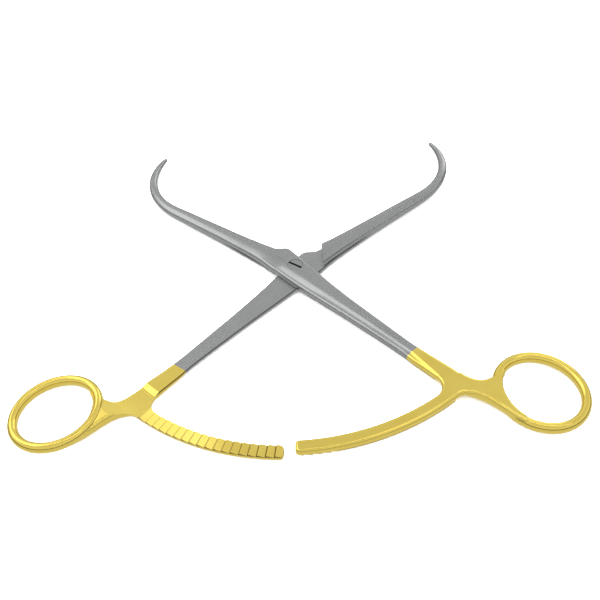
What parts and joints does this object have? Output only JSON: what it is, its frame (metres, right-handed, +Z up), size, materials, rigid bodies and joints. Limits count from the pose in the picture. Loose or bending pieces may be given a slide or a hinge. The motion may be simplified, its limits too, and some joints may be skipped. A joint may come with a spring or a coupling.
{
  "type": "bone reduction forceps",
  "caption": "Curved pointed reduction forceps: half-lap arms on a slotted pivot screw, finger rings and a toothed sliding ratchet.",
  "frame": {"origin": "on the pivot axis, where it meets the underside land that the joint rests on", "axes": "+Z up along the pivot axis, through the thickness; +Y towards the jaws, halfway between the two arms; +X towards the under arm's jaw, across the spread instrument, which is its longest extent in the rest pose"},
  "size_m": [0.1882, 0.1553, 0.0064],
  "materials": {
    "steel": "satin, glass-bead blasted stainless steel",
    "gold_plating": "polished yellow gold plating on steel",
    "screw_steel": "ground flush with the forging"
  },
  "bodies": {
    "under_arm": {"lower_jaw_and_shank": "steel", "lower_gold_handle": "gold_plating", "pivot_screw": "screw_steel"},
    "over_arm": {"upper_jaw_and_shank": "steel", "upper_gold_handle": "gold_plating"}
  },
  "joints": [
    {"name": "arm_pivot", "type": "hinge", "parent": "under_arm", "child": "over_arm", "pos_m": [0, 0, 0.0032], "axis": [0, 0, -1], "range_deg": [-8, 72.8]}
  ]
}
